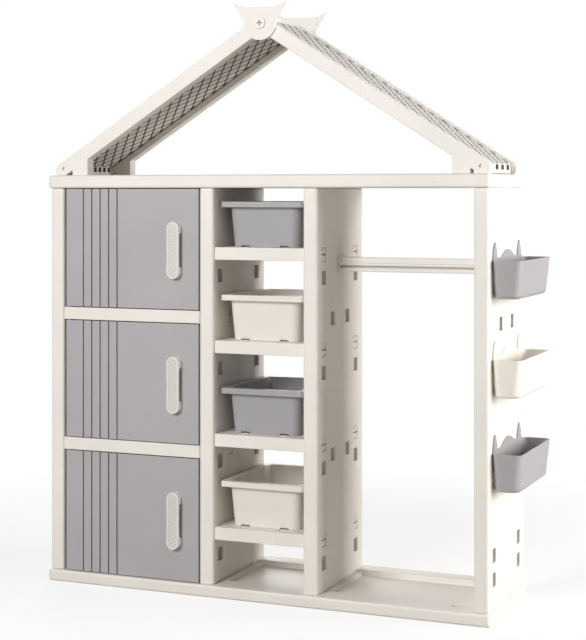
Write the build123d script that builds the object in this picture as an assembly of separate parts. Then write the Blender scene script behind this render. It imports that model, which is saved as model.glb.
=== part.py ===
# A child's wardrobe of moulded boards: three cabinets, a bay of boxes, a hanging bay and a gable roof.
# Millimetres. X runs along the front, Y to the back, Z up. The origin is on the floor, under the
# middle of the base board.

from build123d import *
from math import atan, ceil, cos, degrees, sin
import os

# Carcass
cabinet_bay = 347.0
bin_bay = 214.5
hanging_bay = 347.0
panel_thickness = 33.5
panel_depth = 286.0
panel_height = 878.0
panel_wall = 2.5
panel_edge_round = 7.0
panel_end_round = 4.0
board_depth = 300.0
board_overhang = 3.75
board_corner_round = 8.0
board_edge_round = 5.0
top_edge_round = 6.0
board_wall = 2.5
base_height = 26.0
top_thickness = 29.5
fit_gap = 0.3

# Base board
tray_floor_height = 18.0
tray_front_rim = 60.0
tray_side_margin = 14.0
rail_depth = 48.0
rail_height = 5.0
base_skin = 3.0
grip_slot_length = 38.0
grip_slot_width = 14.0
grip_slot_inset = 47.0
grip_slot_from_panel = 38.5

# Tabs at the head and foot of each upright
foot_tab_length = 60.0
foot_tab_width = 15.0
foot_tab_height = 8.0
foot_tab_inset = 40.0

# Shelves, heights above the base board
shelf_thickness = 28.0
shelf_skin = 3.0
shelf_rib = 2.5
shelf_rib_count = 3
bin_shelf_bottom_height = 127.5
bin_shelf_pitch = 206.5
bin_shelf_setback = 9.0
cabinet_shelf_bottom_height = 306.0
cabinet_shelf_pitch = 299.0
cabinet_shelf_setback = 2.0
shelf_slot_width = 20.0
shelf_slot_depth = 11.0
shelf_slot_spacing = 93.0
shelf_slot_inset = 18.0

# Slots in the uprights, and the shelf tabs that pass through them
slot_width = 24.0
slot_play = 1.0
front_slot_inset = 39.5
rear_slot_inset = 236.5
front_middle_slot_inset = 93.0
rear_middle_slot_inset = 184.0
spare_slot_drop = 50.5
tab_recess = 1.0
tab_slit = 3.0
tab_slit_depth = 20.0
tab_corner_notch = 6.0

# Back of the cabinets
back_thickness = 3.0
back_inset = 9.0
back_groove_depth = 3.0

# Doors
door_thickness = 15.0
door_gap = 2.0
door_setback = 2.0
door_skin = 3.4
door_rim = 3.0
door_rib = 2.5
door_corner_round = 2.5
groove_width = 3.4
groove_depth = 2.2
groove_count = 5
groove_pitch = 21.9
groove_from_hinge_edge = 49.4
pin_diameter = 6.0
pin_length = 20.0
pin_in_board = 8.0
pin_clearance = 0.05
pin_boss_radius = 7.3
door_stop_height = 4.0
door_stop_length = 40.0
door_stop_width = 4.0

# Handles
handle_length = 127.0
handle_width = 30.0
handle_waist = 29.0
handle_drop = 2.5
handle_standoff = 15.0
handle_bar = 6.5
handle_grip_length = 76.0
handle_grip_round = 5.0
handle_screw_spacing = 100.0
handle_from_free_edge = 58.5
handle_border = 3.5
handle_relief = 0.8
handle_rib_width = 2.2
handle_rib_pitch = 5.4
handle_rib_slope = 22.0
screw_diameter = 4.0
screw_head_diameter = 8.0
screw_head_height = 2.2
screw_grip = 9.0

# Boxes
bin_width = 200.0
bin_depth = 256.0
bin_height = 100.5
bin_setback = 21.0
bin_rim_height = 12.5
bin_wall = 2.4
bin_side_ledge = 14.0
bin_front_ledge = 13.0
bin_taper = 7.5
bin_corner_round = 18.0
bin_rim_round = 10.0
bin_notch_width = 21.0
bin_notch_height = 3.2
bin_notch_depth = 12.0

# Hanging rod
rod_height_on_panel = 693.0
rod_inset = 138.0
rod_width = 26.0
rod_crown_height = 12.5
rod_shoulder_width = 24.0
rod_shoulder_height = 5.5
rod_neck_width = 12.0
rod_neck_height = 5.5
rod_lip_height = 8.0
rod_edge_round = 2.0
socket_lip = 3.0
socket_thickness = 6.0
socket_seat = 4.0
socket_spigot_diameter = 18.0
socket_spigot_length = 12.0

# Side baskets. The rims stand at these heights above the base board.
basket_rim_heights = [727.0, 522.0, 327.5]
basket_length = 257.0
basket_reach = 64.0
basket_height = 79.5
basket_wall = 2.4
basket_taper = 6.0
basket_corner_round = 14.0
basket_foot_round = 22.0
basket_bottom_round = 9.0
basket_front_inset = 15.0
basket_gap = 0.5
plate_shoulder = 5.0
plate_proud = 0.2
plate_end_inset = 9.5
ear_width = 30.0
ear_height = 37.0
ear_tip_width = 5.0
bump_width = 140.0
bump_height = 20.5
hook_width = 18.0
hook_neck_height = 17.0
hook_drop = 8.0
hook_tip = 2.6
hook_play = 0.4
hook_pocket_depth = 4.0

# Roof
roof_front_inset = 26.0
roof_depth = 232.0
ridge_height = 332.1
eave_pin_height = 15.4
eave_pin_span = 997.0
nose_overrun = 7.0
rafter_thickness = 27.0
rafter_width = 30.7
rafter_wall = 3.0
rafter_edge_round = 1.5
boot_inner_span = 872.0
boot_width = 40.0
boot_tab_length = 26.0
boot_tab_width = 12.0
boot_tab_height = 7.0
roof_panel_thickness = 11.0
roof_panel_recess = 5.0
roof_panel_wall = 2.0
roof_tongue = 3.5
roof_tongue_start = 22.0
roof_shadow_gap = 2.5
ridge_gap = 1.0
eave_beam_inset = 13.75
eave_beam_thickness = 20.0
eave_beam_lift = 1.5
eave_beam_round = 8.0
eave_beam_wall = 4.0
eave_slot_lift = 9.5
eave_slot_height = 11.0
eave_inner_slots = (8, 22.0, 15.0)
eave_outer_slots = (4, 44.0, 22.0)
eave_strip_thickness = 11.4
eave_pin_diameter = 8.0
eave_pin_length = 15.0
eave_pin_recess = 5.0

# Ridge caps and their screws
cap_thickness = 5.4
cap_radius = 37.5
cap_ear_span = 124.0
cap_ear_rise = 44.2
cap_top_span = 58.0
cap_top_rise = 34.5
ridge_screw_head = 26.0
ridge_screw_head_height = 2.4
ridge_screw_shank = 12.0
cross_length = 13.0
cross_width = 3.0

# Places worked out from the sizes above
carcass_length = cabinet_bay + bin_bay + hanging_bay + 4 * panel_thickness
board_length = carcass_length + 2 * board_overhang
board_front = -board_depth / 2
panel_front = -panel_depth / 2
panel_back = panel_depth / 2
top_board_underside = base_height + panel_height
top_board_top = top_board_underside + top_thickness

left_side_x = -carcass_length / 2
left_divider_x = left_side_x + panel_thickness + cabinet_bay
right_divider_x = left_divider_x + panel_thickness + bin_bay
right_side_x = right_divider_x + panel_thickness + hanging_bay
panel_lefts = [left_side_x, left_divider_x, right_divider_x, right_side_x]
bays = [
    (left_side_x + panel_thickness, left_divider_x),
    (left_divider_x + panel_thickness, right_divider_x),
    (right_divider_x + panel_thickness, right_side_x),
]
cabinet_left, cabinet_right = bays[0]
bin_bay_left, bin_bay_right = bays[1]
hanging_left, hanging_right = bays[2]
basket_face_x = right_side_x + panel_thickness

bin_shelf_tops = [base_height + bin_shelf_bottom_height + i * bin_shelf_pitch for i in range(4)]
cabinet_shelf_tops = [base_height + cabinet_shelf_bottom_height + i * cabinet_shelf_pitch for i in range(2)]
cell_floors = [base_height] + cabinet_shelf_tops
cell_ceilings = [top - shelf_thickness for top in cabinet_shelf_tops] + [top_board_underside]

slot_height = shelf_thickness + 2 * slot_play
outer_slot_places = [panel_front + front_slot_inset, panel_front + rear_slot_inset]
middle_slot_places = [panel_front + front_middle_slot_inset, panel_front + rear_middle_slot_inset]

door_front = panel_front + door_setback
door_left = cabinet_left + door_gap
door_right = cabinet_right - door_gap
hinge_radius = door_thickness / 2
hinge_x = door_left + hinge_radius
hinge_y = door_front + hinge_radius
pin_hole_radius = pin_diameter / 2 + pin_clearance
pin_hole_depth = pin_in_board + fit_gap
back_front = panel_back - back_inset - back_thickness
handle_x = door_right - handle_from_free_edge

rod_y = panel_front + rod_inset
rod_bottom = base_height + rod_height_on_panel
rod_total = rod_lip_height + rod_neck_height + rod_shoulder_height + rod_crown_height
rod_middle_z = rod_bottom + rod_total / 2

roof_front = board_front + roof_front_inset
roof_back = roof_front + roof_depth
ridge_z = top_board_top + ridge_height
eave_pin_z = top_board_top + eave_pin_height
roof_fall = (ridge_height - eave_pin_height) / (eave_pin_span / 2)
roof_angle = atan(roof_fall)
beam_outer = board_length / 2 - board_overhang - eave_beam_inset
beam_inner = beam_outer - eave_beam_thickness
beam_bottom = top_board_top + eave_beam_lift
roof_panel_top = rafter_width / 2 - roof_panel_recess
roof_panel_bottom = roof_panel_top - roof_panel_thickness
roof_tongue_end = beam_inner - eave_beam_wall


def block(x0, x1, y0, y1, z0, z1):
    """A plain block between two corners."""
    size = (x1 - x0, y1 - y0, z1 - z0)
    return Pos((x0 + x1) / 2, (y0 + y1) / 2, (z0 + z1) / 2) * Box(*size)


def rounded_block(x0, x1, y0, y1, z0, z1, corner, edge, top_edge=None):
    """A block with round upright corners and softened upper and lower edges."""
    body = block(x0, x1, y0, y1, z0, z1)
    body = fillet(body.edges().filter_by(Axis.Z), corner)
    if edge:
        body = fillet(body.edges().group_by(Axis.Z)[0], edge)
        body = fillet(body.edges().group_by(Axis.Z)[-1], top_edge or edge)
    return body


def upright_pin(x, y, z0, z1, radius):
    return Pos(x, y, (z0 + z1) / 2) * Cylinder(radius, z1 - z0)


def pin_along_y(x, z, y0, y1, radius):
    return Pos(x, (y0 + y1) / 2, z) * Rot(90, 0, 0) * Cylinder(radius, y1 - y0)


def joined(first, others):
    """One solid from several that touch."""
    for other in others:
        first = first + other
    return first


def cut(body, tools):
    return body - list(tools) if tools else body


def foot_tabs(x0, z0, z1, margin):
    """The two tabs at the head or foot of an upright, grown by a margin to make their pockets."""
    middle = x0 + panel_thickness / 2
    half = foot_tab_width / 2 + margin
    starts = [panel_front + foot_tab_inset, panel_back - foot_tab_inset - foot_tab_length]
    return [
        block(middle - half, middle + half, y - margin, y + foot_tab_length + margin, z0, z1)
        for y in starts
    ]


def slot_centres():
    """Every slot of an upright as (y, z): shelf slots, the spare ones below, and the cabinet slots."""
    places = []
    for top in bin_shelf_tops:
        level = top - shelf_thickness / 2
        for y in outer_slot_places:
            places.append((y, level))
            places.append((y, level - spare_slot_drop))
    for top in cabinet_shelf_tops:
        for y in middle_slot_places:
            places.append((y, top - shelf_thickness / 2))
    return places


def upright_slots(x0):
    return [
        block(x0 - 1, x0 + panel_thickness + 1, y - slot_width / 2, y + slot_width / 2,
              z - slot_height / 2, z + slot_height / 2)
        for y, z in slot_centres()
    ]


def slot_walls(x0):
    """The short walls round each slot, which join the two faces of the upright."""
    half_width = slot_width / 2 + panel_wall
    half_height = slot_height / 2 + panel_wall
    return [
        block(x0 + 1, x0 + panel_thickness - 1, y - half_width, y + half_width,
              z - half_height, z + half_height)
        for y, z in slot_centres()
    ]


def hook_pockets(x1):
    """Room behind an outer face, through the sills of the slots, for the tips of the basket hooks."""
    inner = x1 - panel_wall
    half = hook_width / 2 + fit_gap
    sills = [top - shelf_thickness / 2 - slot_height / 2 for top in bin_shelf_tops]
    return [
        block(inner - hook_pocket_depth, inner, y - half, y + half, sill - panel_wall - 1, sill + 1)
        for sill in sills
        for y in outer_slot_places
    ]


def upright(x0, rod_side=0, takes_baskets=False):
    """A hollow upright. rod_side is +1 or -1 where the right or left face takes a rod socket."""
    x1 = x0 + panel_thickness
    z0, z1 = base_height, top_board_underside
    body = rounded_block(x0, x1, panel_front, panel_back, z0, z1, panel_edge_round, panel_end_round)
    hollow = block(x0 + panel_wall, x1 - panel_wall, panel_front + panel_wall, panel_back - panel_wall,
                   z0 + panel_wall, z1 - panel_wall)
    hollow = fillet(hollow.edges().filter_by(Axis.Z), panel_edge_round - panel_wall)
    body = cut(joined(body - hollow, slot_walls(x0)), upright_slots(x0))
    if takes_baskets:
        body = cut(body, hook_pockets(x1))
    if rod_side:
        face = x1 if rod_side > 0 else x0
        hole = Pos(face, rod_y, rod_middle_z) * Rot(0, 90, 0)
        body = body - hole * Cylinder(socket_spigot_diameter / 2 + fit_gap, 4 * panel_wall)
    tabs = foot_tabs(x0, z0 - foot_tab_height, z0 + panel_wall, 0)
    tabs += foot_tabs(x0, z1 - panel_wall, z1 + foot_tab_height, 0)
    return joined(body, tabs)


def base_board():
    half = board_length / 2
    body = rounded_block(-half, half, board_front, -board_front, 0, base_height,
                         board_corner_round, board_edge_round)
    tray_front = board_front + tray_front_rim
    rail_front = -board_front - rail_depth
    cavity_top = tray_floor_height - base_skin
    rails = [
        block(left + fit_gap, right - fit_gap, rail_front, -board_front - board_edge_round,
              base_height - 1, base_height + rail_height)
        for left, right in bays
    ]
    trays = [
        rounded_block(left + tray_side_margin, right - tray_side_margin, tray_front, rail_front,
                      tray_floor_height, base_height + 1, 4, 0)
        for left, right in bays
    ]
    hollow = block(-half + board_wall, half - board_wall, board_front + board_wall,
                   -board_front - board_wall, base_skin, cavity_top)
    pockets = []
    for x0 in panel_lefts:
        pockets += foot_tabs(x0, base_height - foot_tab_height - fit_gap, base_height + 1, fit_gap)
    slot_x = hanging_right - grip_slot_from_panel
    slot_y = board_front + grip_slot_inset
    grip_slot = extrude(SlotOverall(grip_slot_length, grip_slot_width), amount=base_height)
    grip_slot = Pos(slot_x, slot_y, cavity_top - 1) * grip_slot
    pin_hole = upright_pin(hinge_x, hinge_y, base_height - pin_hole_depth, base_height + 1, pin_hole_radius)
    groove = block(cabinet_left, cabinet_right, back_front - fit_gap, back_front + back_thickness + fit_gap,
                   base_height + rail_height - back_groove_depth, base_height + rail_height + 1)
    body = joined(body, rails + [door_stop(base_height)])
    return cut(body, trays + [hollow] + pockets + [grip_slot, pin_hole, groove])


def boot_tabs(side, y0, z0, z1, margin):
    """The tab under a rafter's boot, grown by a margin to make its pocket in the top board."""
    middle = side * (boot_inner_span / 2 + boot_width / 2)
    across = boot_tab_length / 2 + margin
    along = boot_tab_width / 2 + margin
    centre = y0 + rafter_thickness / 2
    return block(middle - across, middle + across, centre - along, centre + along, z0, z1)


def top_board():
    half = board_length / 2
    z0, z1 = top_board_underside, top_board_top
    body = rounded_block(-half, half, board_front, -board_front, z0, z1, board_corner_round,
                         board_edge_round, top_edge_round)
    inset = board_wall + board_edge_round
    hollow = block(-half + inset, half - inset, board_front + inset, -board_front - inset,
                   z0 + board_wall, z1 - board_wall)
    boss = upright_pin(hinge_x, hinge_y, z0 + board_wall / 2, z0 + pin_hole_depth + board_wall,
                       pin_boss_radius - 1)
    body = body - hollow + boss
    pockets = []
    for x0 in panel_lefts:
        pockets += foot_tabs(x0, z0 - 1, z0 + foot_tab_height + fit_gap, fit_gap)
    for y0 in (roof_front, roof_back - rafter_thickness):
        for side in (-1, 1):
            pockets.append(boot_tabs(side, y0, z1 - boot_tab_height - fit_gap, z1 + 1, fit_gap))
    pin_hole = upright_pin(hinge_x, hinge_y, z0 - 1, z0 + pin_hole_depth, pin_hole_radius)
    return cut(body, pockets + [pin_hole])


def shelf_tab(x0, x1, y, z0, z1, open_side):
    """A tab through an upright's slot. Its end is slit across the middle and notched at one corner."""
    half = slot_width / 2 - fit_gap
    end = x1 if open_side > 0 else x0
    inner = end - open_side * tab_slit_depth
    near, far = sorted((inner, end + open_side))
    middle = (z0 + z1) / 2
    body = block(x0, x1, y - half, y + half, z0, z1)
    slit = block(near, far, y - half - 1, y + half + 1, middle - tab_slit / 2, middle + tab_slit / 2)
    notch = block(near, far, y - half - 1, y - half + tab_corner_notch, z1 - tab_corner_notch, z1 + 1)
    return cut(body, [slit, notch])


def shelf(left, right, top, front, back, tab_places):
    """A moulded shelf: skin, skirt and ribs, with tabs that pass through both uprights."""
    x0, x1 = left + fit_gap, right - fit_gap
    z0 = top - shelf_thickness
    body = rounded_block(x0, x1, front, back, z0, top, 1.5, 1)
    under = block(x0 + shelf_skin, x1 - shelf_skin, front + shelf_skin, back - shelf_skin, z0 - 1,
                  top - shelf_skin)
    pieces = []
    for i in range(shelf_rib_count):
        middle = x0 + (i + 1) * (x1 - x0) / (shelf_rib_count + 1)
        pieces.append(block(middle - shelf_rib / 2, middle + shelf_rib / 2, front + 1, back - 1,
                            z0 + 2, top - 1))
    centre = (front + back) / 2
    pieces.append(block(x0 + 1, x1 - 1, centre - shelf_rib / 2, centre + shelf_rib / 2, z0 + 2, top - 1))
    for y in tab_places:
        tip = panel_thickness - tab_recess
        pieces.append(shelf_tab(left - tip, x0 + shelf_skin, y, z0, top, -1))
        pieces.append(shelf_tab(x1 - shelf_skin, right + tip, y, z0, top, 1))
    return joined(body - under, pieces)


def bin_shelf(top):
    front = panel_front + bin_shelf_setback
    body = shelf(bin_bay_left, bin_bay_right, top, front, panel_back - panel_edge_round, outer_slot_places)
    middle = (bin_bay_left + bin_bay_right) / 2
    y = front + shelf_slot_inset
    slots = []
    for side in (-1, 1):
        x = middle + side * shelf_slot_spacing / 2
        slots.append(block(x - shelf_slot_width / 2, x + shelf_slot_width / 2,
                           y, y + shelf_slot_depth, top - shelf_skin - 1, top + 1))
    return cut(body, slots)


def door_stop(floor):
    """A low rib behind the free edge of a door, so that it can't swing inwards."""
    y = door_front + door_thickness + 0.5
    return rounded_block(door_right - 1.5 * door_stop_length, door_right - 0.5 * door_stop_length,
                         y, y + door_stop_width, floor - 1, floor + door_stop_height, 1, 0)


def cabinet_shelf(top):
    z0 = top - shelf_thickness
    body = shelf(cabinet_left, cabinet_right, top, panel_front + cabinet_shelf_setback,
                 back_front - fit_gap, middle_slot_places)
    boss = upright_pin(hinge_x, hinge_y, z0, top - 1, pin_boss_radius)
    body = joined(body, [boss, door_stop(top)])
    lower = upright_pin(hinge_x, hinge_y, z0 - 1, z0 + pin_hole_depth, pin_hole_radius)
    upper = upright_pin(hinge_x, hinge_y, top - pin_hole_depth, top + 1, pin_hole_radius)
    return cut(body, [lower, upper])


def cabinet_back_panel():
    return block(cabinet_left + fit_gap, cabinet_right - fit_gap, back_front, back_front + back_thickness,
                 base_height + rail_height - back_groove_depth, top_board_underside)


def door_outline(inset=0.0):
    """The door seen from above: a straight leaf with a full round at the hinge edge."""
    leaf = Pos((hinge_x + door_right) / 2, hinge_y) * Rectangle(door_right - hinge_x, door_thickness)
    leaf = fillet(leaf.vertices().group_by(Axis.X)[-1], door_corner_round)
    return leaf + Pos(hinge_x, hinge_y) * Circle(hinge_radius)


def door(floor, ceiling):
    z0, z1 = floor + door_gap, ceiling - door_gap
    body = Pos(0, 0, z0) * extrude(door_outline(), amount=z1 - z0)
    inner_left = hinge_x + hinge_radius
    inner_right = door_right - door_rim
    back = door_front + door_thickness
    pocket = block(inner_left, inner_right, door_front + door_skin, back + 1, z0 + door_rim, z1 - door_rim)
    body = body - pocket
    ribs = []
    for i in range(3):
        x = inner_left + (i + 1) * (inner_right - inner_left) / 4
        ribs.append(block(x - door_rib / 2, x + door_rib / 2, door_front + 1, back - 3, z0 + 1, z1 - 1))
    for i in range(3):
        z = z0 + (i + 1) * (z1 - z0) / 4
        ribs.append(block(inner_left - 1, inner_right + 1, door_front + 1, back - 3,
                          z - door_rib / 2, z + door_rib / 2))
    body = joined(body, ribs)
    cuts = []
    for i in range(groove_count):
        x = door_left + groove_from_hinge_edge + i * groove_pitch
        cuts.append(block(x - groove_width / 2, x + groove_width / 2, door_front - 1,
                          door_front + groove_depth, z0 - 1, z1 + 1))
    reach = pin_length - pin_in_board
    cuts.append(upright_pin(hinge_x, hinge_y, z0 - 1, z0 + reach - door_gap + fit_gap, pin_hole_radius))
    cuts.append(upright_pin(hinge_x, hinge_y, z1 - reach + door_gap - fit_gap, z1 + 1, pin_hole_radius))
    for z in handle_screw_heights(floor, ceiling):
        cuts.append(pin_along_y(handle_x, z, door_front - 1, door_front + door_skin + 1,
                                screw_diameter / 2 + fit_gap))
    return cut(body, cuts)


def door_pins(floor, ceiling):
    """The two pivot pins of a door: each sits in the door and turns in the board beyond it."""
    radius = pin_diameter / 2
    lower = upright_pin(hinge_x, hinge_y, floor - pin_in_board, floor - pin_in_board + pin_length, radius)
    upper = upright_pin(hinge_x, hinge_y, ceiling + pin_in_board - pin_length, ceiling + pin_in_board, radius)
    return [lower, upper]


def handle_middle(floor, ceiling):
    return (floor + ceiling) / 2 - handle_drop


def handle_screw_heights(floor, ceiling):
    middle = handle_middle(floor, ceiling)
    return [middle - handle_screw_spacing / 2, middle + handle_screw_spacing / 2]


def handle_outline(inset):
    """A long rounded grip, drawn in a little at its waist."""
    grip = Rot(0, 0, 90) * SlotOverall(handle_length - 2 * inset, handle_width - 2 * inset)
    sag = (handle_width - handle_waist) / 2
    half = handle_grip_length / 2
    radius = (half ** 2 + sag ** 2) / (2 * sag)
    reach = handle_waist / 2 - inset + radius
    return grip - Pos(reach, 0) * Circle(radius) - Pos(-reach, 0) * Circle(radius)


def on_front(sketch, x, y, z, depth):
    """Stands a sketch up facing the front and gives it a depth towards the back."""
    return Pos(x, y, z) * Rot(90, 0, 0) * extrude(sketch, amount=-depth)


def door_handle(floor, ceiling):
    middle = handle_middle(floor, ceiling)
    front = door_front - handle_standoff
    half = handle_grip_length / 2
    body = on_front(handle_outline(0), handle_x, front, middle, handle_standoff)
    body = fillet(body.faces().sort_by(Axis.Y)[0].edges(), 1.0)
    grip_gap = block(handle_x - handle_width, handle_x + handle_width, front + handle_bar, door_front + 1,
                     middle - half, middle + half)
    ends = grip_gap.edges().filter_by(Axis.X).group_by(Axis.Y)[0]
    face = handle_outline(handle_border)
    relief = on_front(face, handle_x, front - 1, middle, handle_relief + 1)
    body = body - fillet(ends, handle_grip_round) - relief
    count = ceil(handle_length / handle_rib_pitch)
    ribs = []
    for i in range(count):
        z = (i - (count - 1) / 2) * handle_rib_pitch
        rib = Pos(0, z) * Rot(0, 0, handle_rib_slope) * Rectangle(2 * handle_width, handle_rib_width)
        ribs.append(on_front(rib & face, handle_x, front + 0.3, middle, handle_relief))
    holes = [
        pin_along_y(handle_x, z, door_front - screw_grip, door_front + 1, screw_diameter / 2)
        for z in handle_screw_heights(floor, ceiling)
    ]
    return cut(joined(body, ribs), holes)


def handle_screws(floor, ceiling):
    screws = []
    seat = door_front + door_skin
    for z in handle_screw_heights(floor, ceiling):
        shank = pin_along_y(handle_x, z, door_front - screw_grip + 0.5, seat + 0.5, screw_diameter / 2)
        head = pin_along_y(handle_x, z, seat, seat + screw_head_height, screw_head_diameter / 2)
        cross = joined(
            block(handle_x - 2.4, handle_x + 2.4, seat + 1, seat + 4, z - 0.5, z + 0.5),
            [block(handle_x - 0.5, handle_x + 0.5, seat + 1, seat + 4, z - 2.4, z + 2.4)])
        screws.append(shank + head - cross)
    return screws


def tapered_shell(bottom_size, top_size, bottom_round, top_round, z0, z1):
    low = Pos(0, 0, z0) * RectangleRounded(*bottom_size, bottom_round)
    high = Pos(0, 0, z1) * RectangleRounded(*top_size, top_round)
    return loft([low, high], ruled=True)


def storage_bin(shelf_top):
    """A tapered box with a wide turned-down rim, just above its shelf."""
    z0 = shelf_top + fit_gap
    z1 = z0 + bin_height
    top_size = (bin_width - 2 * bin_side_ledge, bin_depth - 2 * bin_front_ledge)
    bottom_size = (top_size[0] - 2 * bin_taper, top_size[1] - 2 * bin_taper)
    twice = 2 * bin_wall
    outer = tapered_shell(bottom_size, top_size, bin_corner_round, bin_corner_round, z0, z1)
    inner = tapered_shell((bottom_size[0] - twice, bottom_size[1] - twice),
                          (top_size[0] - twice, top_size[1] - twice),
                          bin_corner_round - bin_wall, bin_corner_round - bin_wall, z0 + bin_wall, z1 + 0.01)
    rim = extrude(RectangleRounded(bin_width, bin_depth, bin_rim_round), amount=bin_rim_height)
    rim = Pos(0, 0, z1 - bin_rim_height) * fillet(rim.edges().group_by(Axis.Z)[-1], 1.2)
    under = extrude(RectangleRounded(bin_width - twice, bin_depth - twice, bin_rim_round - bin_wall),
                    amount=bin_rim_height)
    under = Pos(0, 0, z1 - bin_rim_height - bin_wall) * under
    body = (rim - under) + outer - inner
    foot = -bottom_size[1] / 2
    pads, notches = [], []
    for side in (-1, 1):
        middle = side * shelf_slot_spacing / 2
        half = bin_notch_width / 2
        pads.append(block(middle - half - bin_wall, middle + half + bin_wall, foot + 1,
                          foot + bin_notch_depth + bin_wall, z0 + 0.5, z0 + bin_notch_height + bin_wall))
        notches.append(block(middle - half, middle + half, foot - 1, foot + bin_notch_depth,
                             z0 - 1, z0 + bin_notch_height))
    body = cut(joined(body, pads), notches)
    x = (bin_bay_left + bin_bay_right) / 2
    y = panel_front + bin_setback + bin_depth / 2
    return Pos(x, y, 0) * body


def rod_profile(grow=0.0):
    """The rod's end view from the lip upwards: a lip, a narrow neck, a shoulder and a crown."""
    bands = [
        (rod_width, 0, rod_lip_height),
        (rod_neck_width, rod_lip_height - 2, rod_neck_height + 4),
        (rod_shoulder_width, rod_lip_height + rod_neck_height, rod_shoulder_height + 2),
        (rod_width, rod_total - rod_crown_height, rod_crown_height),
    ]
    sketch = Sketch()
    for width, start, height in bands:
        sketch += Pos(0, start + height / 2) * Rectangle(width + 2 * grow, height + 2 * grow)
    corners = sketch.vertices().group_by(Axis.Y)
    return fillet(corners[0] + corners[-1], rod_edge_round)


def along_x(sketch, x0, x1):
    """Stands a sketch up across the rod's line and stretches it between two places on X."""
    return Pos(x0, rod_y, rod_bottom) * Rot(90, 90, 0) * extrude(sketch, amount=x1 - x0)


def hanging_rod():
    inset = socket_thickness - socket_seat + fit_gap
    return along_x(rod_profile(), hanging_left + inset, hanging_right - inset)


def rod_socket(side):
    """A cup on an upright that takes one end of the rod, with a spigot into the upright's wall."""
    face = hanging_left if side < 0 else hanging_right
    inwards = -side
    rim = face + inwards * socket_thickness
    half_y = rod_width / 2 + socket_lip
    half_z = rod_total / 2 + socket_lip
    plate = rounded_block(min(face, rim), max(face, rim), rod_y - half_y, rod_y + half_y,
                          rod_middle_z - half_z, rod_middle_z + half_z, 1, 0.8)
    seat_floor = rim - inwards * socket_seat
    seat = along_x(rod_profile(fit_gap), min(seat_floor, rim + inwards), max(seat_floor, rim + inwards))
    centre = face + inwards * (1 - socket_spigot_length / 2)
    spigot = Pos(centre, rod_y, rod_middle_z) * Rot(0, 90, 0)
    return plate + spigot * Cylinder(socket_spigot_diameter / 2, socket_spigot_length) - seat


def basket_tub(shrink, z0, z1):
    """The tapered tub of a basket, its flat back on the plane X = 0."""
    low = RectangleRounded(basket_reach - basket_taper - 2 * shrink,
                           basket_length - 2 * basket_taper - 2 * shrink, basket_foot_round - shrink)
    high = RectangleRounded(basket_reach - 2 * shrink, basket_length - 2 * shrink,
                            basket_corner_round - shrink)
    low = Pos((basket_reach - basket_taper) / 2, 0, z0) * low
    return loft([low, Pos(basket_reach / 2, 0, z1) * high], ruled=True)


def ear_outline(centre):
    """A slender pointed ear standing on the back plate."""
    half = ear_width / 2
    tip = ear_tip_width / 2
    shoulder = ear_height - 2
    left = ThreePointArc((centre - half, 0), (centre - 0.8 * half, 0.55 * ear_height), (centre - tip, shoulder))
    crown = ThreePointArc((centre - tip, shoulder), (centre, ear_height), (centre + tip, shoulder))
    right = ThreePointArc((centre + tip, shoulder), (centre + 0.8 * half, 0.55 * ear_height), (centre + half, 0))
    return make_face(left + crown + right + Line((centre + half, 0), (centre - half, 0)))


def bump_outline():
    half = bump_width / 2
    return make_face(Spline((-half, 0), (-0.55 * half, 0.55 * bump_height), (0, bump_height),
                            (0.55 * half, 0.55 * bump_height), (half, 0)) + Line((half, 0), (-half, 0)))


def basket_plate(ear_centres, z1):
    """The flat plate that rises from the tub's back, with two ears and a low round between them."""
    half = basket_length / 2 - plate_end_inset - basket_taper
    outline = Pos(0, (plate_shoulder - 20) / 2) * Rectangle(2 * half, plate_shoulder + 20)
    for centre in ear_centres:
        outline += ear_outline(centre)
    outline += bump_outline()
    return Pos(-plate_proud, 0, z1) * Rot(90, 90, 0) * extrude(outline, amount=basket_wall)


def basket_hook(y, slot_z):
    """A neck through a slot of the side panel, with a tip that hangs behind the wall."""
    bottom = slot_z - slot_height / 2 + fit_gap
    behind = -(basket_gap + panel_wall + hook_play)
    neck = block(behind - hook_tip, 1, y - hook_width / 2, y + hook_width / 2, bottom, bottom + hook_neck_height)
    tip = block(behind - hook_tip, behind, y - hook_width / 2, y + hook_width / 2, bottom - hook_drop, bottom + 1)
    return neck + tip


def side_basket(level):
    """A tub that hangs on the right side panel by two hooks behind its ears."""
    slot_z = bin_shelf_tops[3 - level] - shelf_thickness / 2
    z1 = base_height + basket_rim_heights[level]
    z0 = z1 - basket_height
    middle = panel_front + basket_front_inset + basket_length / 2
    columns = [y - middle for y in outer_slot_places]
    tub = basket_tub(0, z0, z1)
    tub = fillet(tub.faces().sort_by(Axis.Z)[0].edges(), basket_bottom_round)
    tub = tub - basket_tub(basket_wall, z0 + basket_wall, z1 + 0.01)
    pieces = [basket_plate(columns, z1)] + [basket_hook(y, slot_z) for y in columns]
    return Pos(basket_face_x + basket_gap, middle, 0) * joined(tub, pieces)


def rafter_line_z(x, offset=0.0):
    """Height above the floor of the rafter's middle line at x, or of a line beside it."""
    return ridge_z - abs(x) * roof_fall + offset / cos(roof_angle)


def rafter_bar(side, width):
    """A rafter's bar in the front view, from the ridge past the eave pin."""
    length = eave_pin_span / 2 / cos(roof_angle) + nose_overrun
    middle = side * length / 2
    bar = SlotCenterToCenter(length, width)
    place = Pos(middle * cos(roof_angle), ridge_z - length / 2 * sin(roof_angle))
    return place * Rot(0, 0, -side * degrees(roof_angle)) * bar


def sloping_band(side, start, end, low, high):
    """A strip along the rafter between two places on X and two offsets from its middle line."""
    points = [(start, rafter_line_z(start, low)), (end, rafter_line_z(end, low)),
              (end, rafter_line_z(end, high)), (start, rafter_line_z(start, high))]
    points = [(side * x, z) for x, z in points]
    return make_face(Polyline(*points, points[0]))


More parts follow.
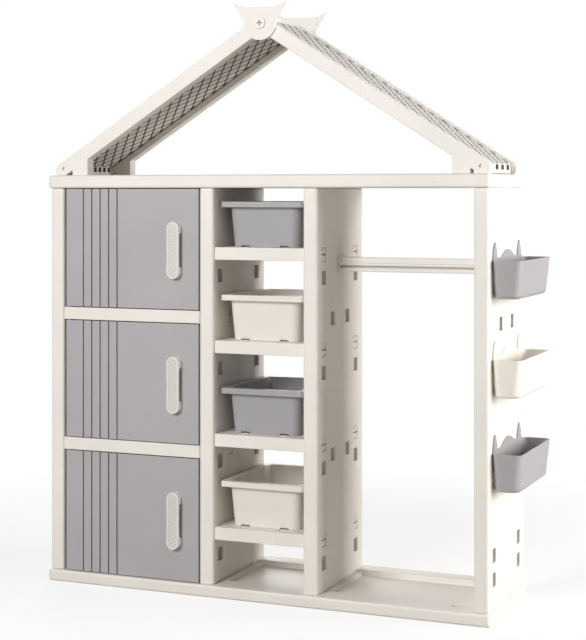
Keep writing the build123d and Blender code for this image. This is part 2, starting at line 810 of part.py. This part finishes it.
def rafter_outline(side):
    inner = boot_inner_span / 2
    outer = inner + boot_width
    points = [(inner, top_board_top), (outer, top_board_top), (outer, rafter_line_z(outer)),
              (inner, rafter_line_z(inner))]
    points = [(side * x, z) for x, z in points]
    boot = make_face(Polyline(*points, points[0]))
    below = Pos(side * eave_pin_span / 2, top_board_top - 50) * Rectangle(100, 100)
    return rafter_bar(side, rafter_width) - below + boot


def rafter(side, end, keep_front):
    """A sloping bar whose boot stands on the top board. side is -1 for the left roof slope, end is -1
    for the front frame. At the ridge each rafter keeps the front or the back half of its thickness."""
    y0 = roof_front if end < 0 else roof_back - rafter_thickness
    y1 = y0 + rafter_thickness
    body = on_front(rafter_outline(side), 0, y0, 0, rafter_thickness)
    outer_face = body.faces().sort_by(Axis.Y)[0 if end < 0 else -1]
    body = fillet(outer_face.edges(), rafter_edge_round)
    groove_depth = roof_tongue + fit_gap
    groove_y = y1 - groove_depth if end < 0 else y0 - 1
    groove = sloping_band(side, roof_tongue_start - 0.5, roof_tongue_end + 0.5,
                          roof_panel_bottom - roof_shadow_gap, roof_panel_top + fit_gap)
    core_y = y0 + rafter_wall if end < 0 else y0 + groove_depth + rafter_wall
    core = sloping_band(side, 2 * rafter_width, beam_inner - rafter_width, rafter_wall - rafter_width / 2,
                        rafter_width / 2 - rafter_wall)
    lap_y = y0 + rafter_thickness / 2 - fit_gap / 2 if keep_front else y0 - 1
    outer_y = y0 if end < 0 else y1
    pin_y = sorted((outer_y + end, outer_y - end * (eave_pin_recess + eave_pin_length)))
    tools = [
        on_front(groove, 0, groove_y, 0, groove_depth + 1),
        on_front(core, 0, core_y, 0, rafter_thickness - 2 * rafter_wall - groove_depth),
        on_front(rafter_bar(-side, rafter_width + 2 * fit_gap), 0, lap_y, 0, rafter_thickness / 2 + 1 + fit_gap / 2),
        pin_along_y(0, ridge_z, y0 - 1, y1 + 1, ridge_screw_shank / 2 + fit_gap),
        pin_along_y(side * eave_pin_span / 2, eave_pin_z, *pin_y, eave_pin_diameter / 2),
    ]
    return cut(body, tools) + boot_tabs(side, y0, top_board_top - boot_tab_height, top_board_top + 1, 0)


def eave_slots(side, row, x0, x1):
    """A row of upright slots through a wall of the eave beam. row is their count, pitch and width."""
    count, pitch, width = row
    middle = (roof_front + roof_back) / 2
    z0 = top_board_top + eave_slot_lift
    near, far = sorted((side * x0, side * x1))
    places = [middle + (i - (count - 1) / 2) * pitch for i in range(count)]
    return [block(near, far, y - width / 2, y + width / 2, z0, z0 + eave_slot_height) for y in places]


def eave_tunnel(side, margin):
    """The space inside the eave beam, shrunk by a margin."""
    near, far = sorted((side * (beam_inner + eave_beam_wall), side * (beam_outer - eave_beam_wall)))
    y0 = roof_front + rafter_thickness + eave_beam_wall
    y1 = roof_back - rafter_thickness - eave_beam_wall
    return block(near, far, y0 + margin, y1 - margin, beam_bottom + eave_beam_wall + margin,
                 top_board_top + eave_slot_lift + eave_slot_height + 0.5 - margin)


def roof_panel(side):
    """A hollow board between two rafters, its tongues in their grooves, ending in a slotted beam."""
    y0 = roof_front + rafter_thickness + fit_gap
    y1 = roof_back - rafter_thickness - fit_gap
    board = sloping_band(side, ridge_gap / 2, beam_outer, roof_panel_bottom, roof_panel_top)
    points = [(beam_inner, beam_bottom), (beam_outer, beam_bottom),
              (beam_outer, rafter_line_z(beam_outer, roof_panel_top)),
              (beam_inner, rafter_line_z(beam_inner, roof_panel_top))]
    points = [(side * x, z) for x, z in points]
    board += make_face(Polyline(*points, points[0]))
    outer = board.vertices().group_by(Axis.X)[-1 if side > 0 else 0].sort_by(Axis.Y)[-1]
    board = fillet(outer, eave_beam_round)
    tongue = sloping_band(side, roof_tongue_start, roof_tongue_end, roof_panel_bottom, roof_panel_top)
    hollow = sloping_band(side, 6, roof_tongue_end - 4, roof_panel_bottom + roof_panel_wall,
                          roof_panel_top - roof_panel_wall)
    body = on_front(board, 0, y0, 0, y1 - y0)
    body += on_front(tongue, 0, y0 - roof_tongue, 0, y1 - y0 + 2 * roof_tongue)
    tools = [on_front(hollow, 0, y0 + 3, 0, y1 - y0 - 6), eave_tunnel(side, 0)]
    tools += eave_slots(side, eave_inner_slots, beam_inner - 1, beam_inner + eave_beam_wall + 1)
    tools += eave_slots(side, eave_outer_slots, beam_outer - eave_beam_wall - 1, beam_outer + 1)
    return cut(body, tools)


def eave_strip(side):
    """The dark strip that stands in the eave beam, behind its slots."""
    middle = side * (beam_inner + beam_outer) / 2
    space = eave_tunnel(side, fit_gap)
    slab = Pos(middle, 0, top_board_top) * Box(eave_strip_thickness, board_depth, 100)
    return space & slab


def eave_pins():
    pins = []
    for side in (-1, 1):
        x = side * eave_pin_span / 2
        for outer, inwards in ((roof_front, 1), (roof_back, -1)):
            y0, y1 = sorted((outer + inwards * eave_pin_recess,
                             outer + inwards * (eave_pin_recess + eave_pin_length)))
            pins.append(pin_along_y(x, eave_pin_z, y0, y1, eave_pin_diameter / 2))
    return pins


def cap_half(side):
    """One side of a ridge cap's outline: from the round up to an ear and in to the flat top."""
    ear = side * cap_ear_span / 2
    round_x = side * (cap_radius ** 2 - 25) ** 0.5
    top = side * cap_top_span / 2
    rising = ThreePointArc((round_x, 5), (side * (cap_radius + 12.6), 24.5), (ear - side, cap_ear_rise - 3))
    tip = ThreePointArc((ear - side, cap_ear_rise - 3), (ear, cap_ear_rise - 0.8),
                        (ear - side * 2.6, cap_ear_rise))
    falling = ThreePointArc((ear - side * 2.6, cap_ear_rise), ((ear + top) / 2 - side, cap_top_rise + 3.6),
                            (top, cap_top_rise))
    return rising + tip + falling


def ridge_cap(end):
    """A plate with two pointed ears over the ridge of a roof frame."""
    top = cap_top_span / 2
    round_x = (cap_radius ** 2 - 25) ** 0.5
    foot = ThreePointArc((-round_x, 5), (0, -cap_radius), (round_x, 5))
    outline = make_face(cap_half(-1) + Line((-top, cap_top_rise), (top, cap_top_rise)) + cap_half(1) + foot)
    y = roof_front - cap_thickness if end < 0 else roof_back
    plate = on_front(outline, 0, y, ridge_z, cap_thickness)
    return plate - pin_along_y(0, ridge_z, y - 1, y + cap_thickness + 1, ridge_screw_shank / 2 + fit_gap)


def ridge_screw(end):
    """A large cross-head screw through a ridge cap and the two rafter eyes behind it."""
    face = roof_front - cap_thickness if end < 0 else roof_back + cap_thickness
    top = face + end * ridge_screw_head_height
    tip = face - end * (cap_thickness + rafter_thickness - roof_tongue - 3)
    head = pin_along_y(0, ridge_z, min(face, top), max(face, top), ridge_screw_head / 2)
    head = fillet(head.faces().sort_by(Axis.Y)[0 if end < 0 else -1].edges(), 1.4)
    shank = pin_along_y(0, ridge_z, min(face, tip), max(face, tip), ridge_screw_shank / 2)
    y0, y1 = sorted((top + end, top - end * (ridge_screw_head_height - 0.6)))
    long, thin = cross_length / 2, cross_width / 2
    cross = [block(-long, long, y0, y1, ridge_z - thin, ridge_z + thin),
             block(-thin, thin, y0, y1, ridge_z - long, ridge_z + long)]
    return cut(head + shank, cross)


def group(solids):
    return Compound(children=[solid for shape in solids for solid in shape.solids()])


parts = {
    "base_board": base_board(),
    "top_board": top_board(),
    "left_side_panel": upright(left_side_x),
    "left_divider_panel": upright(left_divider_x),
    "right_divider_panel": upright(right_divider_x, 1),
    "right_side_panel": upright(right_side_x, -1, True),
    "cabinet_back_panel": cabinet_back_panel(),
    "hanging_rod": hanging_rod(),
    "left_rod_socket": rod_socket(-1),
    "right_rod_socket": rod_socket(1),
}

for name, top in zip(("lower", "upper"), cabinet_shelf_tops):
    parts[f"{name}_cabinet_shelf"] = cabinet_shelf(top)

for name, floor, ceiling in zip(("lower", "middle", "upper"), cell_floors, cell_ceilings):
    parts[f"{name}_door"] = door(floor, ceiling)
    parts[f"{name}_door_pins"] = group(door_pins(floor, ceiling))
    parts[f"{name}_door_handle"] = door_handle(floor, ceiling)
    parts[f"{name}_handle_screws"] = group(handle_screws(floor, ceiling))

for name, top in zip(("bottom", "lower", "upper", "top"), bin_shelf_tops):
    parts[f"{name}_bin_shelf"] = bin_shelf(top)
    parts[f"{name}_bin"] = storage_bin(top)

for level, name in enumerate(("upper", "middle", "lower")):
    parts[f"{name}_side_basket"] = side_basket(level)

for end, end_name in ((-1, "front"), (1, "rear")):
    parts[f"{end_name}_left_rafter"] = rafter(-1, end, True)
    parts[f"{end_name}_right_rafter"] = rafter(1, end, False)
    parts[f"{end_name}_ridge_cap"] = ridge_cap(end)

for side, name in ((-1, "left"), (1, "right")):
    parts[f"{name}_roof_panel"] = roof_panel(side)
    parts[f"{name}_eave_strip"] = eave_strip(side)

parts["ridge_screws"] = group([ridge_screw(-1), ridge_screw(1)])
parts["eave_pins"] = group(eave_pins())

os.makedirs("parts", exist_ok=True)
for name, shape in parts.items():
    shape.label = name
    export_step(shape, f"parts/{name}.step")
    print(name, len(shape.solids()), round(shape.volume / 1000, 1), "cm3")
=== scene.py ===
import math

import bmesh
import bpy
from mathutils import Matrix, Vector

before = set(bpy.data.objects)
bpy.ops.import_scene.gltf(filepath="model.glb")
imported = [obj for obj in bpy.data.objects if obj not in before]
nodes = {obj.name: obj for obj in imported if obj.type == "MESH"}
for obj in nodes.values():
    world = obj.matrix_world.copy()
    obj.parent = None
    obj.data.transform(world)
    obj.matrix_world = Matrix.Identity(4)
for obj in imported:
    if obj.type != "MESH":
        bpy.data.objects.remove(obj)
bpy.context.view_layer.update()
print("frame loaded:", len(nodes), "nodes")


# small helpers for node trees
def addNode(tree, kind, values=None, **settings):
    node = tree.nodes.new(kind)
    for key, value in settings.items():
        setattr(node, key, value)
    for key, value in (values or {}).items():
        node.inputs[key].default_value = value
    return node


def mathNode(tree, operation, *values):
    node = addNode(tree, "ShaderNodeMath", operation=operation)
    for index, value in enumerate(values):
        if isinstance(value, (int, float)):
            node.inputs[index].default_value = value
        else:
            tree.links.new(value, node.inputs[index])
    return node.outputs[0]


def mapRange(tree, value, fromRange, toRange=(0.0, 1.0), **settings):
    node = addNode(tree, "ShaderNodeMapRange", {
        "From Min": fromRange[0], "From Max": fromRange[1],
        "To Min": toRange[0], "To Max": toRange[1]}, **settings)
    tree.links.new(value, node.inputs["Value"])
    return node.outputs[0]


def mixColour(tree, factor, low, high):
    node = addNode(tree, "ShaderNodeMix", data_type="RGBA")
    tree.links.new(factor, node.inputs["Factor"])
    for socket, value in ((node.inputs[6], low), (node.inputs[7], high)):
        if isinstance(value, tuple):
            socket.default_value = (*value, 1)
        else:
            tree.links.new(value, socket)
    return node.outputs[2]


def mixShaders(tree, factor, first, second):
    node = addNode(tree, "ShaderNodeMixShader")
    for index, socket in enumerate((factor, first, second)):
        tree.links.new(socket, node.inputs[index])
    return node.outputs[0]


def noiseNode(tree, place, scale, detail=2, roughness=0.5):
    node = addNode(tree, "ShaderNodeTexNoise", {
        "Scale": scale, "Detail": detail, "Roughness": roughness})
    tree.links.new(place, node.inputs["Vector"])
    return node.outputs["Fac"]


def mappingNode(tree, place, values):
    node = addNode(tree, "ShaderNodeMapping", values)
    tree.links.new(place, node.inputs["Vector"])
    return node.outputs[0]


def axesOf(tree, place):
    node = addNode(tree, "ShaderNodeSeparateXYZ")
    tree.links.new(place, node.inputs[0])
    return node.outputs


def newMaterial(name):
    material = bpy.data.materials.new(name)
    material.use_nodes = True
    tree = material.node_tree
    place = addNode(tree, "ShaderNodeTexCoord").outputs["Object"]
    return material, tree, tree.nodes["Principled BSDF"], place


# a screen colour from 0 to 255 as the linear colour that a socket takes
def linear(red, green, blue):
    return tuple(((c / 255 + 0.055) / 1.055) ** 2.4 if c > 10 else c / 255 / 12.92
                 for c in (red, green, blue))


def shade(colour, amount):
    return tuple(min(1.0, max(0.0, c * amount)) for c in colour)


# camera: level, standing to the right of the front, with the lens shifted down
cameraSetup = {
    "place": (1.3976, -3.2849, 0.8935),
    "turn": 22.68,  # degrees
    "lens": 88.6,
    "sensor": 36,
    "shiftY": -0.1989,
    "reach": 50,
}


def addCamera(setup):
    data = bpy.data.cameras.new("camera")
    data.sensor_width = setup["sensor"]
    data.lens = setup["lens"]
    data.shift_y = setup["shiftY"]
    data.clip_end = setup["reach"]
    camera = bpy.data.objects.new("camera", data)
    camera.location = setup["place"]
    camera.rotation_euler = (math.radians(90), 0, math.radians(setup["turn"]))
    bpy.context.scene.collection.objects.link(camera)
    bpy.context.scene.camera = camera


addCamera(cameraSetup)
bpy.context.scene.view_settings.view_transform = "Standard"
print("camera ready")


# light: large soft lamps from the right, the front left and behind, and a faint even room
lampSetup = {
    "aim": (0, 0, 0.6),
    "lamps": [
        {"name": "rightLamp", "place": (3.9, 0.4, 1.3), "size": 2.0, "power": 172,
         "tint": (1.0, 0.985, 0.965)},
        {"name": "frontLamp", "place": (-0.9, -4.2, 2.1), "size": 1.9, "power": 147,
         "tint": (1.0, 0.995, 0.99)},
        {"name": "backLamp", "place": (-2.4, 3.4, 1.8), "size": 2.0, "power": 66,
         "tint": (1.0, 0.985, 0.96)},
    ],
}
roomSetup = {
    "tint": (1.0, 0.95, 0.86, 1),
    "strength": 0.1,
    "seen": (1, 1, 1, 1),  # what the camera, gloss and glass see
}


def addLamps(setup):
    aim = Vector(setup["aim"])
    for lamp in setup["lamps"]:
        data = bpy.data.lights.new(lamp["name"], "AREA")
        data.size = lamp["size"]
        data.energy = lamp["power"]
        data.color = lamp["tint"]
        thing = bpy.data.objects.new(lamp["name"], data)
        thing.location = lamp["place"]
        facing = aim - Vector(lamp["place"])
        thing.rotation_euler = facing.to_track_quat("-Z", "Y").to_euler()
        bpy.context.scene.collection.objects.link(thing)


def addRoom(setup):
    world = bpy.data.worlds.new("room")
    world.use_nodes = True
    tree = world.node_tree
    tree.nodes.clear()
    rays = addNode(tree, "ShaderNodeLightPath").outputs
    direct = mathNode(tree, "MAXIMUM", rays["Is Camera Ray"], rays["Is Glossy Ray"])
    sees = mathNode(tree, "MAXIMUM", direct, rays["Is Transmission Ray"])
    glow = addNode(tree, "ShaderNodeBackground", {
        "Color": setup["tint"], "Strength": setup["strength"]})
    seen = addNode(tree, "ShaderNodeBackground", {"Color": setup["seen"]})
    both = mixShaders(tree, sees, glow.outputs[0], seen.outputs[0])
    out = addNode(tree, "ShaderNodeOutputWorld")
    tree.links.new(both, out.inputs["Surface"])
    bpy.context.scene.world = world


addLamps(lampSetup)
addRoom(roomSetup)
print("light ready")


plasticLook = {
    "cloudScale": 6.0,
    "cloudRange": (0.35, 0.65),
    "toneStep": 0.025,  # how far the cloudy tone strays from the colour
    "grainScale": 900.0,
    "grainRange": (0.3, 0.7),
    "grain": 0.6,
    "flowScale": (40.0, 40.0, 3.0),
    "flow": 0.35,
    "bump": 0.35,
    "bumpDepth": 0.0006,
    "roughness": 0.46,
    "glossSpread": (-0.06, 0.08),
    "edge": 0.0012,  # how wide the rounded edge and its painted highlight are, in metres
    "edgeSamples": 6,
    "edgeMatch": (0.995, 0.9),
    # how much lighter the edges are painted: a painted highlight
    "edgeHighlightLift": 1.05,
    "paintedShadeRecesses": (),
}


# 1 on the edges, where the rounded normal leaves the face's own, broken up by the grain: the
# mask of a painted highlight
def edgeHighlightMask(tree, softNormal, grain, look):
    face = addNode(tree, "ShaderNodeNewGeometry")
    match = addNode(tree, "ShaderNodeVectorMath", operation="DOT_PRODUCT")
    tree.links.new(softNormal, match.inputs[0])
    tree.links.new(face.outputs["Normal"], match.inputs[1])
    paintedHighlight = mapRange(tree, match.outputs["Value"], look["edgeMatch"])
    return mathNode(tree, "MULTIPLY", paintedHighlight, mathNode(tree, "MULTIPLY_ADD", grain, 0.5, 0.5))


# gloss and grain of moulded plastic, from a pebbled skin and faint flow lines, and the masks
# of its cloudy tone and its painted edge highlight
def mouldedSurface(tree, shader, place, look):
    cloud = noiseNode(tree, place, look["cloudScale"], detail=3)
    pebble = noiseNode(tree, place, look["grainScale"], roughness=0.6)
    flow = noiseNode(tree, mappingNode(tree, place, {"Scale": look["flowScale"]}), 1.0)
    glossRange = [look["roughness"] + change for change in look["glossSpread"]]
    gloss = mapRange(tree, pebble, look["grainRange"], glossRange)
    tree.links.new(gloss, shader.inputs["Roughness"])
    grain = mathNode(tree, "MULTIPLY", pebble, look["grain"])
    height = mathNode(tree, "MULTIPLY_ADD", flow, look["flow"], grain)
    soft = addNode(tree, "ShaderNodeBevel", {"Radius": look["edge"]},
                   samples=look["edgeSamples"])
    bump = addNode(tree, "ShaderNodeBump", {
        "Strength": look["bump"], "Distance": look["bumpDepth"]})
    tree.links.new(height, bump.inputs["Height"])
    tree.links.new(soft.outputs[0], bump.inputs["Normal"])
    tree.links.new(bump.outputs[0], shader.inputs["Normal"])
    tone = mapRange(tree, cloud, look["cloudRange"])
    return tone, edgeHighlightMask(tree, soft.outputs[0], pebble, look)


# 1 between two places on one axis of the object: the floor of a groove or a moulded recess,
# where shade is painted
def bandMask(tree, place, axis, low, high):
    level = axesOf(tree, place)[axis]
    above = mathNode(tree, "GREATER_THAN", level, low)
    below = mathNode(tree, "LESS_THAN", level, high)
    return mathNode(tree, "MULTIPLY", above, below)


def plasticMaterial(name, finish):
    look = {**plasticLook, **finish}
    material, tree, shader, place = newMaterial(name)
    tone, paintedHighlight = mouldedSurface(tree, shader, place, look)
    colour = linear(*look["colour"])
    step = look["toneStep"]
    paint = mixColour(tree, tone, shade(colour, 1 - step), shade(colour, 1 + step))
    # the edges are painted lighter: a painted highlight
    paint = mixColour(tree, paintedHighlight, paint, shade(colour, look["edgeHighlightLift"]))
    # painted shade: the floors of grooves and recesses are painted darker
    for axis, low, high, shadeShare in look["paintedShadeRecesses"]:
        paintedShadeMask = bandMask(tree, place, axis, low, high)
        paint = mixColour(tree, paintedShadeMask, paint, shade(colour, shadeShare))
    tree.links.new(paint, shader.inputs["Base Color"])
    return material


# each finish changes plasticLook; a recess is its axis, from, to in metres, and the share of
# the colour that is left on its floor: painted shade where the real recess lies in shade
plasticFinishes = {
    "shell": {"colour": (238, 234, 227)},
    # the rod's recessed neck is painted darker: painted shade
    "rod": {"colour": (234, 231, 224), "flowScale": (3.0, 40.0, 40.0),
            "paintedShadeRecesses": (("Z", 0.7272, 0.7321, 0.62),)},
    "roof": {"colour": (239, 235, 229)},
    # the screws are painted darker where they sit sunk in their holes: painted shade
    "screw": {"colour": (239, 235, 229), "roughness": 0.36,
              "paintedShadeRecesses": (("Y", -0.1311, -0.12, 0.3), ("Y", 0.1, 0.1151, 0.3))},
    # the door grooves are painted darker: painted shade
    "door": {"colour": (176, 173, 176), "roughness": 0.5,
             "paintedShadeRecesses": (("Y", -0.1405, -0.1384, 0.42),)},
    # the pocket in the handle's face is painted darker: painted shade
    "handle": {"colour": (234, 231, 227), "roughness": 0.34, "edge": 0.0005,
               "paintedShadeRecesses": (("Y", -0.1554, -0.1549, 0.74),)},
    "pin": {"colour": (226, 222, 218), "roughness": 0.4},
    "greyBox": {"colour": (168, 166, 169), "roughness": 0.42},
    "creamBox": {"colour": (235, 231, 223), "roughness": 0.42},
    "strip": {"colour": (24, 23, 22), "roughness": 0.6},
}
plastics = {name: plasticMaterial(name + "Plastic", finish)
            for name, finish in plasticFinishes.items()}


roofPattern = {
    "wave": 0.033,  # from crest to crest, down the slope
    "width": 0.038,  # of one cell, across the slope
    "line": 0.17,
    "lineBlur": 0.15,
    "sway": 0.40,
    "slope": 32.43,  # degrees
    "lowest": 0.9555,  # the pattern stops here, above the eave beam
    "ground": (228, 223, 216),
    "ink": (20, 19, 18),
    "roughness": 0.4,
}


# a net of dark wavy lines printed on a pale board, laid along the roof's slope; side is -1 for
# the left board and 1 for the right one
def latticeMaterial(name, side, pattern):
    look = {**plasticLook, "roughness": pattern["roughness"]}
    material, tree, shader, place = newMaterial(name)
    mouldedSurface(tree, shader, place, look)
    onBoard = mathNode(tree, "GREATER_THAN", axesOf(tree, place)["Z"], pattern["lowest"])
    lean = -side * math.radians(pattern["slope"])
    axes = axesOf(tree, mappingNode(tree, place, {"Rotation": (0, lean, 0)}))
    along = mathNode(tree, "MULTIPLY", axes["X"], 2 * math.pi / pattern["wave"])
    wave = mathNode(tree, "MULTIPLY_ADD", mathNode(tree, "COSINE", along), pattern["sway"], 0.5)
    across = mathNode(tree, "MULTIPLY", axes["Y"], 1 / pattern["width"])
    inCell = mathNode(tree, "FRACT", mathNode(tree, "ADD", across, 50.0))  # 50 keeps it positive
    cell = mathNode(tree, "ABSOLUTE", mathNode(tree, "MULTIPLY_ADD", inCell, 2.0, -1.0))
    distance = mathNode(tree, "ABSOLUTE", mathNode(tree, "SUBTRACT", cell, wave))
    lineRange = [pattern["line"] * (1 + blur)
                 for blur in (-pattern["lineBlur"], pattern["lineBlur"])]
    line = mapRange(tree, distance, lineRange, (1.0, 0.0))
    ink = mathNode(tree, "MULTIPLY", line, onBoard)
    paint = mixColour(tree, ink, linear(*pattern["ground"]), linear(*pattern["ink"]))
    tree.links.new(paint, shader.inputs["Base Color"])
    return material


steelLook = {
    "spotScale": 400.0,
    "roughness": (0.25, 0.45),
    "dark": (0.45, 0.45, 0.46),
    "pale": (0.6, 0.6, 0.61),
}


def steelMaterial(name, look):
    material, tree, shader, place = newMaterial(name)
    spots = noiseNode(tree, place, look["spotScale"], detail=3)
    gloss = mapRange(tree, spots, (0.0, 1.0), look["roughness"])
    tree.links.new(gloss, shader.inputs["Roughness"])
    paint = mixColour(tree, spots, look["dark"], look["pale"])
    tree.links.new(paint, shader.inputs["Base Color"])
    shader.inputs["Metallic"].default_value = 1.0
    return material


leftLattice = latticeMaterial("leftLattice", -1, roofPattern)
rightLattice = latticeMaterial("rightLattice", 1, roofPattern)
zincSteel = steelMaterial("zincSteel", steelLook)
print("materials ready")


# a node takes the material of its own name first, then of its ending, then of a word in it
nodeMaterials = {
    "ridge_screws": plastics["screw"],
    "hanging_rod": plastics["rod"],
    "left_roof_panel": leftLattice,
    "right_roof_panel": rightLattice,
    "left_eave_strip": plastics["strip"],
    "right_eave_strip": plastics["strip"],
    "top_bin": plastics["greyBox"],
    "upper_bin": plastics["creamBox"],
    "lower_bin": plastics["greyBox"],
    "bottom_bin": plastics["creamBox"],
    "upper_side_basket": plastics["greyBox"],
    "middle_side_basket": plastics["creamBox"],
    "lower_side_basket": plastics["greyBox"],
}
endingMaterials = {
    "_door": plastics["door"],
    "_door_handle": plastics["handle"],
    "_door_pins": plastics["pin"],
    "_handle_screws": zincSteel,
}
roofWords = ("rafter", "ridge", "eave")


def materialFor(name):
    if name in nodeMaterials:
        return nodeMaterials[name]
    for ending, material in endingMaterials.items():
        if name.endswith(ending):
            return material
    if any(word in name for word in roofWords):
        return plastics["roof"]
    return plastics["shell"]


for name, node in nodes.items():
    node.data.materials.clear()
    node.data.materials.append(materialFor(name))
print("nodes finished")


floorSetup = {
    "size": 30.0,
    "colour": (176, 172, 166),
    "cloudScale": 1.5,
    "toneStep": 0.01,
    "roughness": 0.8,
    "nearGlow": 0.72,
    "shadowShare": 0.3,
    "fadeShape": (1.0, 1.15, 1.0),
    "fadeRange": (0.75, 1.9),  # where plain white takes over, in metres from the middle
    "white": (1, 1, 1, 1),
}


# what the camera sees of the floor: near the object a share of real light, so that the shadow
# stays, and plain white further out
def floorSeen(tree, place, setup):
    share = setup["shadowShare"]
    pale = addNode(tree, "ShaderNodeBsdfDiffuse", {"Color": (share, share, share, 1)})
    glow = addNode(tree, "ShaderNodeEmission", {
        "Color": setup["white"], "Strength": setup["nearGlow"]})
    near = addNode(tree, "ShaderNodeAddShader")
    tree.links.new(pale.outputs[0], near.inputs[0])
    tree.links.new(glow.outputs[0], near.inputs[1])
    reach = addNode(tree, "ShaderNodeVectorMath", operation="LENGTH")
    tree.links.new(mappingNode(tree, place, {"Scale": setup["fadeShape"]}), reach.inputs[0])
    fade = mapRange(tree, reach.outputs["Value"], setup["fadeRange"],
                    interpolation_type="SMOOTHSTEP")
    far = addNode(tree, "ShaderNodeEmission", {"Color": setup["white"], "Strength": 1.0})
    return mixShaders(tree, fade, near.outputs[0], far.outputs[0])


def floorMaterial(setup):
    material, tree, shader, place = newMaterial("paleFloor")
    cloud = noiseNode(tree, place, setup["cloudScale"])
    colour = linear(*setup["colour"])
    step = setup["toneStep"]
    paint = mixColour(tree, cloud, shade(colour, 1 - step), shade(colour, 1 + step))
    tree.links.new(paint, shader.inputs["Base Color"])
    shader.inputs["Roughness"].default_value = setup["roughness"]
    rays = addNode(tree, "ShaderNodeLightPath")
    both = mixShaders(tree, rays.outputs["Is Camera Ray"], shader.outputs[0],
                      floorSeen(tree, place, setup))
    tree.links.new(both, tree.nodes["Material Output"].inputs["Surface"])
    return material


def addFloor(setup):
    shape = bmesh.new()
    bmesh.ops.create_grid(shape, x_segments=1, y_segments=1, size=setup["size"] / 2)
    mesh = bpy.data.meshes.new("floor")
    shape.to_mesh(mesh)
    shape.free()
    mesh.materials.append(floorMaterial(setup))
    floor = bpy.data.objects.new("floor", mesh)
    bpy.context.scene.collection.objects.link(floor)


addFloor(floorSetup)
print("floor ready")
